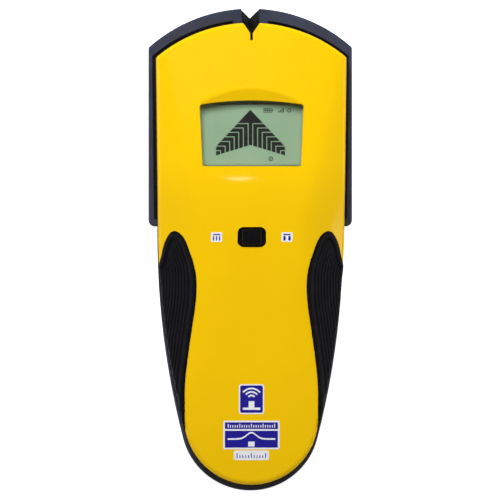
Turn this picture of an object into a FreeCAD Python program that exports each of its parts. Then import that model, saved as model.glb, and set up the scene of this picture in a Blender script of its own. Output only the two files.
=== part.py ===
"""Hand-held stud finder: a two-part plastic case that lies on its flat back.

The rear case is a black tray with bumper rails round the head.  The yellow front shell sits on it, crowned
like a saddle, and carries a recessed display window, a sliding mode switch and a marking notch in the nose.
Two rubber grips fill pockets in the flanks of the handle.  Inside are a display board, a sensing board with
copper plates close to the back, and a 9 V battery behind a sliding door.

Row frame, in millimetres: +Z is up, out of the display; +Y points to the nose with the marking notch; X runs
across.  The origin is the centre of the overall box, on the flat back face.
"""
import FreeCAD
import Part
import math
import os

from FreeCAD import Vector

PARTS_FOLDER = "parts"

# ---- overall form -------------------------------------------------------------------------------------------
LENGTH = 166.0            # notch end to tail
HEAD_HALF = 35.0          # half the width over the bumper rails
PARTING_Z = 13.0          # where the front shell meets the rear case
TAIL_Y = -LENGTH / 2
NOSE_Y = LENGTH / 2 + 0.0916    # top of the nose arc, which the notch cuts away
NOSE_R = 52.5
RAIL_END_Y = 8.0          # where the bumper rails stop and the handle begins
RAIL_CORNER_R = 2.2
GUTTER_WIDTH = 1.2        # a groove along the shell's foot, inside the bumper rails
GUTTER_DEPTH = 2.2
RIM_FOOT_Z = 9.5          # the rear case's wall is thicker above this height, to carry the shell and the gutter

# The handle: from each shoulder one long side arc runs tangent into a round tail.
SHOULDER_Y = 6.0
CASE_SHOULDER_X = 31.95
CASE_LEAN = -0.0046       # slope of the handle's side at the shoulder: outwards over height, positive to the nose
CASE_TAIL_R = 23.8

# The front shell stands back from the rear case, by a ledge at the nose, the rails and the tail.
SHELL_NOSE_Y = 78.0
SHELL_NOSE_R = 51.0
SHELL_LEAN = 0.0125       # the head's sides lean outwards towards the nose
SHELL_SHOULDER_X = 32.0
SHELL_TAIL_R = 23.0
SHELL_TAIL_Y = -80.9
SHELL_CORNER_R = 1.5
SHELL_EDGE_R = 1.8

# The crowned roof of the front shell.
CREST_Y = 24.0            # the highest line, just below the display
CREST_Z = 36.0
CREST_SOFTNESS = 5.0
NOSE_FALL = 0.14          # slope from the crest down to the nose
TAIL_FALL = 0.085         # slope from the crest down to the tail
TAIL_CURL_Y = -40.0
TAIL_CURL = 0.0012
FACET_FALL = 0.55         # slope of the flanks outside the crease
CREASE_SOFTNESS = 1.6
CREASE_WAIST_X = 17.6     # half-width between the creases at their narrowest
CREASE_FLARE_HEAD = 0.225
CREASE_FLARE_TAIL = 0.14
CREASE_BLEND = 8.0

# Wall thicknesses.
CASE_WALL = 2.0
SHELL_WALL = 3.2          # sides, which have to hold the grip pockets
ROOF_WALL = 2.2
GRIP_DEPTH = 1.2          # how far a grip lies below the shell's own surface
GRIP_PROUD = 0.35
GRIP_SLANT = 0.55         # how far the grip's edge leans back down the flank, per millimetre of height
GRIP_TRUE_Z = 27.0        # height at which its outline in plan is exact

# ---- display window -----------------------------------------------------------------------------------------
WINDOW_Y = (28.6, 49.8)   # lower edge and upper corners of the opening
WINDOW_HALF = (17.0, 17.9)
WINDOW_PEAK_Y = 51.3      # top of the arched upper edge
WINDOW_DEPTH = (0.6, 3.2)     # how far the lens lies below the roof at its lower and upper edge
LENS_THICK = 1.5
TAPE_THICK = 0.2
LEDGE_WIDTH = 0.7
LEDGE_THICK = 1.2
SCOOP_TOP_Y = 55.4        # where the scoop above the window runs out
SCOOP_FALL = 0.34
SCOOP_R = 80.0
SCOOP_LIP_R = 2.0         # rounding where the scoop runs out into the roof
LCD_SIZE = (37.0, 26.4)
LCD_MID_Y = 39.6
LCD_GLASS = 1.1           # each of the two plates

# ---- switch -------------------------------------------------------------------------------------------------
SWITCH_Y = 4.3
SLOT_HALF = (4.9, 3.45)
SLOT_CORNER_R = 2.0
KNOB_HALF = (3.3, 2.75)
KNOB_TRAVEL = 1.5
KNOB_RISE = 1.1
KNOB_PLATE_HALF = (7.0, 4.5)
KNOB_PLATE_THICK = 1.2
SPRING_SPACE = 6.0

# ---- boards -------------------------------------------------------------------------------------------------
BOARD_TOP_Z = 21.6
BOARD_THICK = 1.6
BOARD_Z = BOARD_TOP_Z - BOARD_THICK
BOARD_HALF = 27.0
BOARD_Y = (-8.0, 62.0)
SENSOR_Z = 3.6
SENSOR_THICK = 1.2
SENSOR_START_Y = 14.0
PLATE_THICK = 0.1

# ---- fasteners: half-spacing in X, then Y -------------------------------------------------------------------
CASE_SCREWS = ((25.3, 56.0), (21.5, -12.0))
BOARD_SCREWS = ((24.0, 48.0), (23.0, 10.0))
SENSOR_SCREWS = ((20.0, 20.0), (17.0, 68.0))
TOWER_R = 3.25
BOARD_BOSS_R = 2.5

# ---- battery and its door -----------------------------------------------------------------------------------
BATTERY = (26.5, 46.4, 17.5)
BATTERY_END_Y = -70.5
BATTERY_Z = 3.2
TERMINAL_X = 6.35
TERMINAL_RISE = 2.1
DOOR_HALF = 13.7
DOOR_TONGUE_HALF = 15.2
DOOR_HEAD_Y = -20.3
DOOR_GAP = 0.2            # clearance round the door
DOOR_LIP_Z = 1.05
LEAD_R = 0.65


# ---- small helpers ------------------------------------------------------------------------------------------
def line(a, b):
    return Part.LineSegment(a, b).toShape()


def arc(a, middle, b):
    return Part.Arc(a, middle, b).toShape()


def box(x, y, z):
    """A box from (low, high) pairs."""
    return Part.makeBox(x[1] - x[0], y[1] - y[0], z[1] - z[0], Vector(x[0], y[0], z[0]))


def post(radius, x, y, z):
    return Part.makeCylinder(radius, z[1] - z[0], Vector(x, y, z[0]))


def extrude(wire, z):
    face = Part.Face(wire)
    face.translate(Vector(0, 0, z[0]))
    return face.extrude(Vector(0, 0, z[1] - z[0]))


def polygon(points, z):
    corners = [Vector(x, y, 0) for x, y in points]
    return extrude(Part.makePolygon(corners + corners[:1]), z)


def rounded_box(x, y, z, radius):
    """A box with its four upright edges rounded."""
    solid = box(x, y, z)
    return solid.makeFillet(radius, upright_edges(solid))


def upright_edges(solid):
    edges = []
    for edge in solid.Edges:
        ends = [v.Point for v in edge.Vertexes]
        if len(ends) == 2 and math.hypot(ends[0].x - ends[1].x, ends[0].y - ends[1].y) < 1e-6:
            edges.append(edge)
    return edges


def middle_of(edge):
    return edge.valueAt((edge.FirstParameter + edge.LastParameter) / 2)


def join(*solids):
    whole = solids[0]
    for solid in solids[1:]:
        whole = whole.fuse(solid)
    return whole.removeSplitter()


def mirrored(x_y):
    """Both places of a feature that is repeated left and right."""
    return ((-x_y[0], x_y[1]), (x_y[0], x_y[1]))


def places(pairs):
    return [place for pair in pairs for place in mirrored(pair)]


def soft_step(u, softness):
    """0 below u = 0 and u above it, with a rounded bend between."""
    return softness * math.log1p(math.exp(min(u / softness, 50.0))) if u / softness < 50.0 else u


# ---- outlines -----------------------------------------------------------------------------------------------
def handle_points(shoulder_x, lean, tail_y, tail_r, inset):
    """Right-hand points of the handle: shoulder, middle of the side arc, tangent point, and the tail's end."""
    length = math.hypot(1, lean)
    normal = (1 / length, -lean / length)
    tail_centre = tail_y + tail_r
    rise = SHOULDER_Y - tail_centre
    reach = shoulder_x * normal[0] + rise * normal[1]
    side_r = (shoulder_x ** 2 + rise ** 2 - tail_r ** 2) / (2 * (reach - tail_r))
    centre = (shoulder_x - side_r * normal[0], SHOULDER_Y - side_r * normal[1])
    apart = math.hypot(centre[0], tail_centre - centre[1])
    way = (-centre[0] / apart, (tail_centre - centre[1]) / apart)
    shoulder = (shoulder_x - inset * normal[0], SHOULDER_Y - inset * normal[1])
    tangent = (way[0] * (tail_r - inset), tail_centre + way[1] * (tail_r - inset))
    middle_y = (shoulder[1] + tangent[1]) / 2
    middle = (centre[0] + math.sqrt((side_r - inset) ** 2 - (middle_y - centre[1]) ** 2), middle_y)
    return shoulder, middle, tangent, (0.0, tail_y + inset)


def closed_outline(nose_top, corners, handle):
    """A symmetric outline: nose arc, straight corners down each side, side arcs and tail arc."""
    shoulder, middle, tangent, tail = handle

    def side(sign):
        return [Vector(sign * x, y, 0) for x, y in list(corners) + [shoulder]]

    right, left = side(1), side(-1)
    edges = [arc(left[0], Vector(0, nose_top, 0), right[0])]
    for points in (right, left):
        edges += [line(a, b) for a, b in zip(points, points[1:])]
    for sign in (1, -1):
        points = [Vector(sign * x, y, 0) for x, y in (shoulder, middle, tangent)]
        edges.append(arc(*points))
    edges.append(arc(Vector(tangent[0], tangent[1], 0), Vector(0, tail[1], 0), Vector(-tangent[0], tangent[1], 0)))
    return Part.Wire(Part.__sortEdges__(edges))


def case_outline(inset=0.0):
    """The rear case, with the step where its bumper rails end."""
    centre, radius, x = NOSE_Y - NOSE_R, NOSE_R - inset, HEAD_HALF - inset
    handle = handle_points(CASE_SHOULDER_X, CASE_LEAN, TAIL_Y, CASE_TAIL_R, inset)
    step = RAIL_END_Y + inset
    neck = handle[0][0] + CASE_LEAN * (step - handle[0][1])
    corners = ((x, centre + math.sqrt(radius ** 2 - x ** 2)), (x, step), (neck, step))
    return closed_outline(centre + radius, corners, handle)


def shell_outline(inset=0.0):
    """The front shell at the parting plane."""
    centre, radius = SHELL_NOSE_Y - SHELL_NOSE_R, SHELL_NOSE_R - inset
    handle = handle_points(SHELL_SHOULDER_X, SHELL_LEAN, SHELL_TAIL_Y, SHELL_TAIL_R, inset)
    # The leaning head side x = base + lean * y meets the nose circle at the front corner.
    base = handle[0][0] - SHELL_LEAN * handle[0][1]
    a = SHELL_LEAN ** 2 + 1
    b = 2 * SHELL_LEAN * base - 2 * centre
    c = base ** 2 + centre ** 2 - radius ** 2
    y = (-b + math.sqrt(b * b - 4 * a * c)) / (2 * a)
    return closed_outline(centre + radius, ((base + SHELL_LEAN * y, y),), handle)


# ---- the crowned roof ---------------------------------------------------------------------------------------
def roof_height(x, y):
    """Height of the front shell's outer surface, before its edge is rounded."""
    crest = (CREST_Z - NOSE_FALL * soft_step(y - CREST_Y, CREST_SOFTNESS)
             - TAIL_FALL * soft_step(CREST_Y - y, CREST_SOFTNESS) - TAIL_CURL * max(0.0, TAIL_CURL_Y - y) ** 2)
    crease = (CREASE_WAIST_X + CREASE_FLARE_HEAD * soft_step(y - 4.0, CREASE_BLEND)
              + CREASE_FLARE_TAIL * soft_step(-12.0 - y, CREASE_BLEND))
    crown = 0.0012 * (1 + 1 / (1 + math.exp((y - 10.0) / 8.0)))
    return crest - crown * x * x - FACET_FALL * soft_step(abs(x) - crease, CREASE_SOFTNESS)


def under_roof(lower=0.0, widen=0.0):
    """Everything below the roof surface, or below a copy of it that is lower and has thicker flanks."""
    columns, rows, reach_x, reach_y = 27, 24, 39.0, 88.0
    grid = []
    for i in range(columns):
        x = -reach_x + 2 * reach_x * i / (columns - 1)
        ys = [-reach_y + 2 * reach_y * j / (rows - 1) for j in range(rows)]
        grid.append([Vector(x, y, roof_height(abs(x) + widen, y) - lower) for y in ys])
    surface = Part.BSplineSurface()
    surface.interpolate(grid)
    return surface.toShape().extrude(Vector(0, 0, -60))


def hull(outline, bottom, lower=0.0, widen=0.0, edge_r=0.0):
    """The solid between a plane and the roof, inside an outline, with its upper edge rounded."""
    block = extrude(outline, (bottom, 60.0))
    front_corners = [e for e in upright_edges(block) if middle_of(e).y > 50]
    block = block.makeFillet(SHELL_CORNER_R, front_corners)
    solid = block.common(under_roof(lower, widen)).Solids[0]
    if edge_r:
        rim = []
        for edge in solid.Edges:
            p = middle_of(edge)
            if abs(p.z - roof_height(abs(p.x) + widen, p.y) + lower) < 0.15:
                rim.append(edge)
        solid = solid.makeFillet(edge_r, rim)
    return solid


# ---- display window -----------------------------------------------------------------------------------------
def lens_slope():
    low = roof_height(0, WINDOW_Y[0]) - WINDOW_DEPTH[0]
    high = roof_height(0, WINDOW_PEAK_Y) - WINDOW_DEPTH[1]
    return math.atan2(low - high, WINDOW_PEAK_Y - WINDOW_Y[0])


def tilted(solid):
    """Moves a solid from the lens frame, where z = 0 is the lens's outer face, into the row frame."""
    moved = solid.copy()
    moved.rotate(Vector(0, WINDOW_Y[0], 0), Vector(1, 0, 0), -math.degrees(lens_slope()))
    moved.translate(Vector(0, 0, roof_height(0, WINDOW_Y[0]) - WINDOW_DEPTH[0]))
    return moved


def layer(z):
    """An endless slab between two heights of the lens frame."""
    return tilted(box((-60, 60), (-20, 120), z))


def window_outline(inset=0.0):
    low, high = WINDOW_HALF[0] - inset, WINDOW_HALF[1] - inset
    bottom, corner, peak = WINDOW_Y[0] + inset, WINDOW_Y[1] - inset, WINDOW_PEAK_Y - inset
    points = [Vector(-high, corner, 0), Vector(-low, bottom, 0), Vector(low, bottom, 0), Vector(high, corner, 0)]
    edges = [line(a, b) for a, b in zip(points, points[1:])]
    edges.append(arc(points[3], Vector(0, peak, 0), points[0]))
    return Part.Wire(edges)


def window_prism(inset=0.0):
    solid = extrude(window_outline(inset), (0, 60))
    return solid.makeFillet(max(0.9 - inset, 0.3), upright_edges(solid))


def scoop_cutter():
    """The shallow hollow that runs down to the window's upper edge: part of a large tilted cylinder."""
    edge_z = roof_height(0, SCOOP_TOP_Y)
    tilt = math.degrees(math.atan(SCOOP_FALL))
    cylinder = Part.makeCylinder(SCOOP_R, 80, Vector(0, SCOOP_TOP_Y - 40, edge_z + SCOOP_R), Vector(0, 1, 0))
    cylinder.rotate(Vector(0, SCOOP_TOP_Y, edge_z), Vector(1, 0, 0), tilt)
    half = WINDOW_HALF[1] - 0.5
    return cylinder.common(box((-half, half), (WINDOW_Y[1] - 0.9, 60), (0, 60)))


def display_window():
    plate = window_prism(0.12).common(layer((-LENS_THICK, 0)))
    return plate


def window_tape():
    ring = window_prism(0.12).cut(window_prism(LEDGE_WIDTH))
    return ring.common(layer((-LENS_THICK - TAPE_THICK, -LENS_THICK)))


def lcd_box(half_x, half_y, z, shift=0.0):
    """A box in the lens frame, centred on the display."""
    y = LCD_MID_Y + shift
    return tilted(box((-half_x, half_x), (y - half_y, y + half_y), z))


LCD_FACE = -(LENS_THICK + TAPE_THICK + LEDGE_THICK + 0.3)


def lcd_parts():
    """The display cell as its layers, from the front: polariser, two glass plates and reflector."""
    half_x, half_y = LCD_SIZE[0] / 2, LCD_SIZE[1] / 2
    z = LCD_FACE
    film, contact_ledge = 0.2, 1.2
    layers = {"lcd_polariser": (half_x - 0.6, half_y - 1.4, film, -0.4),
              "lcd_front_glass": (half_x, half_y - contact_ledge / 2, LCD_GLASS, -contact_ledge / 2),
              "lcd_rear_glass": (half_x, half_y, LCD_GLASS, 0.0),
              "lcd_reflector": (half_x - 0.6, half_y - 1.4, film, -0.4)}
    parts = {}
    for name, (x, y, thick, shift) in layers.items():
        parts[name] = lcd_box(x, y, (z - thick, z), shift)
        z -= thick
    return parts, z


def lcd_frame(cell_bottom):
    """The wedge-shaped holder that carries the tilted display over the level board."""
    half_x, half_y, wall = LCD_SIZE[0] / 2 + 0.15, LCD_SIZE[1] / 2 + 0.15, 1.2
    above_board = box((-60, 60), (0, 100), (BOARD_TOP_Z, 60))
    body = lcd_box(half_x + wall, half_y + wall, (-30, LCD_FACE - 0.3)).common(above_board)
    well = lcd_box(half_x, half_y, (cell_bottom - 0.05, 5))
    hollow = lcd_box(half_x - 2.0, half_y - 4.2, (-30, 5))
    strip_slot = lcd_box(half_x - 1.0, 1.2, (-30, 5), shift=half_y - 1.9)
    return body.cut(well).cut(hollow).cut(strip_slot)


def contact_strip(cell_bottom):
    """The elastomer strip that connects the display's contact ledge to the board."""
    half_y = LCD_SIZE[1] / 2 + 0.15
    above_board = box((-60, 60), (0, 100), (BOARD_TOP_Z, 60))
    strip = lcd_box(LCD_SIZE[0] / 2 - 1.1, 1.0, (-30, cell_bottom), shift=half_y - 1.9)
    return strip.common(above_board)


# ---- marking notch ------------------------------------------------------------------------------------------
def notch_section(half, shoulder, apex, z):
    """The V of the notch at one height."""
    far = NOSE_Y + 3
    points = ((-half, far), (-half, shoulder), (0, apex), (half, shoulder), (half, far))
    corners = [Vector(x, y, z) for x, y in points]
    return Part.makePolygon(corners + corners[:1])


def notch_groove():
    """The pencil groove: it leans back from the rear face to the roof."""
    lower = Part.makeLoft([notch_section(3.1, 83.0, 79.8, -0.01), notch_section(3.1, 79.5, 76.4, PARTING_Z)],
                          True, True)
    upper = Part.makeLoft([notch_section(2.3, 78.9, 76.4, PARTING_Z), notch_section(2.1, 77.7, 74.7, 30.0)],
                          True, True)
    return lower.fuse(upper)


def notch_plan(gap):
    """Outline of the V that the shell's roof leaves for the notch, ending in a narrow index line."""
    half, line_half = 2.85 - gap, 0.46 - gap * 0.5
    right = ((half, NOSE_Y + 3), (half, 77.95), (line_half, 74.4 + gap), (line_half, 72.0 + gap))
    return right + tuple((-x, y) for x, y in reversed(right))


def notch_boss():
    """The black block of the rear case that rises into the shell's V and carries the groove."""
    nose = extrude(shell_outline(0.0), (0, 60))
    root = box((-6, 6), (70.5, NOSE_Y), (CASE_WALL, PARTING_Z)).common(extrude(case_outline(0.5), (0, 60)))
    rise = polygon(notch_plan(0.08), (PARTING_Z - 1, 60)).common(nose).common(under_roof(lower=0.4))
    return root.fuse(rise)


# ---- rear case ----------------------------------------------------------------------------------------------
def case_block():
    """The outer form of the rear case, with every outside edge eased."""
    block = extrude(case_outline(), (0, PARTING_Z))
    rail_ends = [e for e in upright_edges(block) if abs(middle_of(e).x) > 34 and middle_of(e).y < 20]
    block = block.makeFillet(RAIL_CORNER_R, rail_ends)
    front = [e for e in upright_edges(block) if middle_of(e).y > 60]
    block = block.makeFillet(1.0, front)
    lower_rim = [e for e in block.Edges if e.BoundBox.ZMax < 1e-6]
    block = block.makeFillet(1.6, lower_rim)
    upper_rim = [e for e in block.Edges if e.BoundBox.ZMin > PARTING_Z - 1e-6]
    return block.makeFillet(0.8, upper_rim)


def door_opening():
    """The way the battery door leaves: a slot for its skin and a wider one for its tongues."""
    skin = box((-DOOR_HALF - DOOR_GAP, DOOR_HALF + DOOR_GAP), (TAIL_Y - 1, DOOR_HEAD_Y + DOOR_GAP), (-1, 2.1))
    tongue = DOOR_TONGUE_HALF + DOOR_GAP
    tongues = box((-tongue, tongue), (TAIL_Y - 1, DOOR_HEAD_Y + DOOR_GAP), (DOOR_LIP_Z, 2.1))
    latch = box((-6.2, 6.2), (DOOR_HEAD_Y - 1, -17.4), (DOOR_LIP_Z, 2.1))
    return skin.fuse([tongues, latch])


def battery_ribs():
    """Side ribs that centre the battery and hold the door's tongues down, and the wall at its head."""
    ribs = []
    for sign in (-1, 1):
        foot = sorted((sign * 15.5, sign * 16.8))
        hook = sorted((sign * 14.4, sign * 15.6))
        ribs.append(box(foot, (-71.0, -25.0), (1.5, 10.0)))
        ribs.append(box(hook, (-64.0, -25.0), (2.15, 3.3)))
    wall = box((-22.0, 22.0), (-18.4, -17.2), (2.15, 11.0))
    feet = [box(sorted((s * 16.0, s * 22.0)), (-18.4, -17.2), (1.5, 3.0)) for s in (-1, 1)]
    return ribs + [wall.cut(box((-7, 7), (-19, -16), (9.0, 12.0)))] + feet


def rear_case():
    outer = case_block()
    wells = extrude(case_outline(CASE_WALL), (CASE_WALL, RIM_FOOT_Z))
    mouth = extrude(shell_outline(2.2), (RIM_FOOT_Z - 0.2, PARTING_Z + 1))
    gutter = shell_ring(-GUTTER_WIDTH, 0.0, (PARTING_Z - GUTTER_DEPTH, PARTING_Z + 1))
    gutter = gutter.common(box((-60, 60), (RAIL_END_Y + 2.5, 100), (0, 60)))
    body = outer.cut(wells).cut(mouth).cut(gutter)
    inside = extrude(case_outline(0.5), (0, 60))
    for x, y in places(CASE_SCREWS):
        body = body.fuse(post(TOWER_R, x, y, (0.5, PARTING_Z - 0.05)))
    for x, y in places(SENSOR_SCREWS):
        body = body.fuse(post(2.2, x, y, (0.5, SENSOR_Z)))
    body = body.fuse([rib.common(inside) for rib in battery_ribs()])
    body = body.fuse(notch_boss())
    body = body.cut(notch_groove()).cut(door_opening())
    for x, y in places(CASE_SCREWS):
        body = body.cut(post(2.9, x, y, (-1, 3.0))).cut(post(1.5, x, y, (-1, PARTING_Z + 1)))
    for x, y in places(SENSOR_SCREWS):
        body = body.cut(post(0.8, x, y, (1.0, SENSOR_Z + 1)))
    label_seat = rounded_box((-22.3, 22.3), (22.7, 47.3), (-1, 0.3), 2.0)
    return body.cut(label_seat).removeSplitter()


def rear_label():
    return rounded_box((-22, 22), (23, 47), (0.1, 0.3), 1.8)


# ---- battery door -------------------------------------------------------------------------------------------
def battery_door():
    skin = box((-DOOR_HALF, DOOR_HALF), (TAIL_Y - 1, DOOR_HEAD_Y), (0.12, DOOR_LIP_Z + 0.1))
    tongues = box((-DOOR_TONGUE_HALF, DOOR_TONGUE_HALF), (TAIL_Y - 1, DOOR_HEAD_Y), (DOOR_LIP_Z + 0.1, 2.0))
    latch = box((-6.0, 6.0), (DOOR_HEAD_Y - 1, -17.6), (DOOR_LIP_Z + 0.1, 2.0))
    door = case_block().common(join(skin, tongues, latch))
    for row in range(5):
        y = -72.0 + 2.4 * row
        door = door.cut(rounded_box((-8, 8), (y, y + 1.2), (-1, 0.6), 0.55))
    arrow = polygon(((-4.0, -57.0), (4.0, -57.0), (0.0, -60.0)), (-1, 0.45))
    return door.cut(arrow)


# ---- grips --------------------------------------------------------------------------------------------------
def grip_plan():
    """Outline of the right grip seen from above: a teardrop that runs off the side of the handle."""
    points = ((34.6, -7.6), (32.8, -5.4), (31.5, -2.6), (30.6, 0.6), (29.5, 3.5), (27.4, 5.3), (24.4, 3.5),
              (21.6, -2.2), (19.5, -9.2), (18.9, -16.0), (20.2, -27.0), (22.0, -39.0), (22.9, -49.0),
              (22.9, -58.0), (24.6, -68.0))
    curve = Part.BSplineCurve()
    curve.interpolate([Vector(x, y, 0) for x, y in points])
    start, end = Vector(*points[0], 0), Vector(*points[-1], 0)
    corners = [start, Vector(40, start.y, 0), Vector(40, end.y, 0), end]
    edges = [curve.toShape()] + [line(a, b) for a, b in zip(corners, corners[1:])]
    return Part.Wire(Part.__sortEdges__(edges))


def grip_cutter(sign):
    """The grip's outline swept down and a little back, so that its upper end slants down the flank."""
    face = Part.Face(grip_plan())
    top = 44.0
    face.translate(Vector(0, (top - GRIP_TRUE_Z) * GRIP_SLANT, top))
    sweep = face.extrude(Vector(0, -(top - PARTING_Z) * GRIP_SLANT, -(top - PARTING_Z)))
    return sweep if sign > 0 else sweep.mirror(Vector(0, 0, 0), Vector(1, 0, 0))


def grip_blank():
    """The skin that both grips are cut from."""
    outer = hull(handle_hull_outline(), PARTING_Z, lower=-GRIP_PROUD, edge_r=1.2)
    inner = hull(shell_outline(GRIP_DEPTH), PARTING_Z - 1, lower=GRIP_DEPTH, edge_r=0.6)
    return outer.cut(inner)


def handle_hull_outline():
    """The outside of the grips in plan, just proud of the shell, carried straight up past the shoulder."""
    handle = handle_points(SHELL_SHOULDER_X + 0.15, SHELL_LEAN, SHELL_TAIL_Y - 0.6, SHELL_TAIL_R + 0.35, 0.0)
    corner = (handle[0][0] + SHELL_LEAN * (60.0 - SHOULDER_Y), 60.0)
    return closed_outline(70.0, (corner,), handle)


def grip(sign, blank):
    return blank.common(grip_cutter(sign)).Solids[0]


# ---- front shell --------------------------------------------------------------------------------------------
def shell_ring(outer, inner, z):
    return extrude(shell_outline(outer), z).cut(extrude(shell_outline(inner), z))


def switch_guides():
    """Ribs under the roof that guide the knob's plate, and end stops for its two springs."""
    top, low = 40.0, knob_plate_z()[0] - 0.6
    half_x = KNOB_PLATE_HALF[0] + SPRING_SPACE
    half_y = KNOB_PLATE_HALF[1] + 0.2
    guides = []
    for sign in (-1, 1):
        y = sorted((SWITCH_Y + sign * half_y, SWITCH_Y + sign * (half_y + 1.0)))
        x = sorted((sign * half_x, sign * (half_x + 1.0)))
        guides.append(box((-half_x - 1.0, half_x + 1.0), y, (low, top)))
        guides.append(box(x, (SWITCH_Y - half_y, SWITCH_Y + half_y), (low, top)))
    return guides


def front_shell(grips):
    outer = hull(shell_outline(), PARTING_Z, edge_r=SHELL_EDGE_R)
    cavity = hull(shell_outline(SHELL_WALL), PARTING_Z - 1, lower=ROOF_WALL, widen=1.8)
    body = outer.cut(cavity)
    body = body.fuse(shell_ring(1.0, 3.6, (PARTING_Z, PARTING_Z + 1.5)))
    body = body.fuse(shell_ring(2.4, 3.6, (PARTING_Z - 1.6, PARTING_Z + 0.1)))
    inside = outer.common(extrude(shell_outline(1.0), (PARTING_Z, 60)))

    frame = box((-21.0, 21.0), (WINDOW_Y[0] - 3, WINDOW_PEAK_Y + 3), (PARTING_Z, 60))
    frame = frame.common(layer((-LENS_THICK - TAPE_THICK - LEDGE_THICK, 10)))
    inner_parts = [frame] + switch_guides()
    inner_parts += [post(TOWER_R, x, y, (PARTING_Z + 0.05, 60)) for x, y in places(CASE_SCREWS)]
    inner_parts += [post(BOARD_BOSS_R, x, y, (BOARD_TOP_Z, 60)) for x, y in places(BOARD_SCREWS)]
    inner_parts += [box((-12, 12), (y, y + 1.2), (23.2, 60)) for y in (-62.0, -47.0, -32.0)]
    body = body.fuse([part.common(inside) for part in inner_parts])

    body = body.cut(window_prism().common(layer((-LENS_THICK - TAPE_THICK, 40))))
    body = body.cut(window_prism(LEDGE_WIDTH))
    body = body.cut(scoop_cutter())
    slot = rounded_box((-SLOT_HALF[0], SLOT_HALF[0]), (SWITCH_Y - SLOT_HALF[1], SWITCH_Y + SLOT_HALF[1]),
                       (25, 60), SLOT_CORNER_R)
    body = body.cut(slot)
    body = body.cut(polygon(notch_plan(0.0), (PARTING_Z - 3, 60)))
    body = body.cut(box((-6.3, 6.3), (70.0, 90.0), (0, PARTING_Z)))
    for x, y in places(CASE_SCREWS):
        body = body.cut(post(1.15, x, y, (PARTING_Z - 1, PARTING_Z + 10)))
    for x, y in places(BOARD_SCREWS):
        body = body.cut(post(0.85, x, y, (BOARD_TOP_Z - 1, BOARD_TOP_Z + 5)))
    for pad in grips:
        body = body.cut(pad)
    body = max(body.removeSplitter().Solids, key=lambda s: s.Volume)
    run_out = Vector(0, SCOOP_TOP_Y, roof_height(0, SCOOP_TOP_Y))
    lip = [edge for edge in body.Edges if middle_of(edge).distanceToPoint(run_out) < 0.2]
    return body.makeFillet(SCOOP_LIP_R, lip).Solids[0]


# ---- switch -------------------------------------------------------------------------------------------------
def knob_plate_z():
    top = roof_height(0, SWITCH_Y) - ROOF_WALL - 0.95
    return top - KNOB_PLATE_THICK, top


def switch_knob():
    low, top = knob_plate_z()
    half_x, half_y = KNOB_PLATE_HALF
    plate = rounded_box((-half_x, half_x), (SWITCH_Y - half_y, SWITCH_Y + half_y), (low, top), 0.8)
    cap_x, cap_y = KNOB_HALF
    cap_top = roof_height(0, SWITCH_Y) + KNOB_RISE
    cap = rounded_box((-cap_x, cap_x), (SWITCH_Y - cap_y, SWITCH_Y + cap_y), (top - 0.1, cap_top), 0.9)
    cap = cap.makeFillet(0.35, [e for e in cap.Edges if e.BoundBox.ZMin > cap_top - 1e-6])
    socket = box((-2.8, 2.8), (SWITCH_Y - 2.6, SWITCH_Y + 2.6), (low - 2.1, low + 0.1))
    pocket = box((-1.6, 1.6), (SWITCH_Y - 1.4, SWITCH_Y + 1.4), (low - 3, low + 0.2))
    knob = join(plate, cap, socket).cut(pocket)
    for x in (-1.9, 0.0, 1.9):
        groove = box((x - 0.35, x + 0.35), (SWITCH_Y - 2.0, SWITCH_Y + 2.0), (cap_top - 0.4, cap_top + 1))
        knob = knob.cut(groove)
    return knob


def switch_parts():
    """The slide switch on the board: can, contact wafer with its pins, and the lever that moves."""
    y, z = SWITCH_Y, BOARD_TOP_Z
    can = box((-6.4, 6.4), (y - 3.0, y + 3.0), (z, z + 4.6))
    can = can.makeFillet(0.5, [e for e in can.Edges if e.BoundBox.ZMin > z + 4.6 - 1e-6])
    can = can.cut(box((-6.0, 6.0), (y - 2.6, y + 2.6), (z - 1, z + 4.2)))
    can = can.cut(box((-3.3, 3.3), (y - 1.6, y + 1.6), (z, z + 6)))
    wafer = box((-5.9, 5.9), (y - 2.5, y + 2.5), (z + 0.01, z + 0.8))
    pins = [box((x - 0.4, x + 0.4), (y + dy - 0.15, y + dy + 0.15), (z - 3.2, z + 0.01))
            for x in (-3.0, -1.0, 1.0, 3.0) for dy in (-1.6, 1.6)]
    lever = join(box((-3.2, 3.2), (y - 2.3, y + 2.3), (z + 1.0, z + 2.6)),
                 box((-1.5, 1.5), (y - 1.3, y + 1.3), (z + 2.5, knob_plate_z()[0] - 0.1)))
    return {"switch_can": can, "switch_wafer": wafer, "switch_pins": Part.makeCompound(pins), "switch_lever": lever}


def return_spring(sign):
    """A small compression spring between the knob's plate and the end stop."""
    wire_r, coil_r, turns = 0.14, 0.85, 7
    start = KNOB_PLATE_HALF[0] + wire_r + 0.03
    length = SPRING_SPACE - 2 * wire_r - 0.06
    helix = Part.makeHelix(length / turns, length, coil_r)
    section = Part.Wire(Part.makeCircle(wire_r, Vector(coil_r, 0, 0), Vector(0, 1, 0)))
    coil = helix.makePipeShell([section], True, True)
    coil.rotate(Vector(0, 0, 0), Vector(0, 1, 0), 90)
    low, top = knob_plate_z()
    coil.translate(Vector(start, SWITCH_Y, (low + top) / 2 - 0.2))
    return coil if sign > 0 else coil.mirror(Vector(0, 0, 0), Vector(1, 0, 0))


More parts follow.
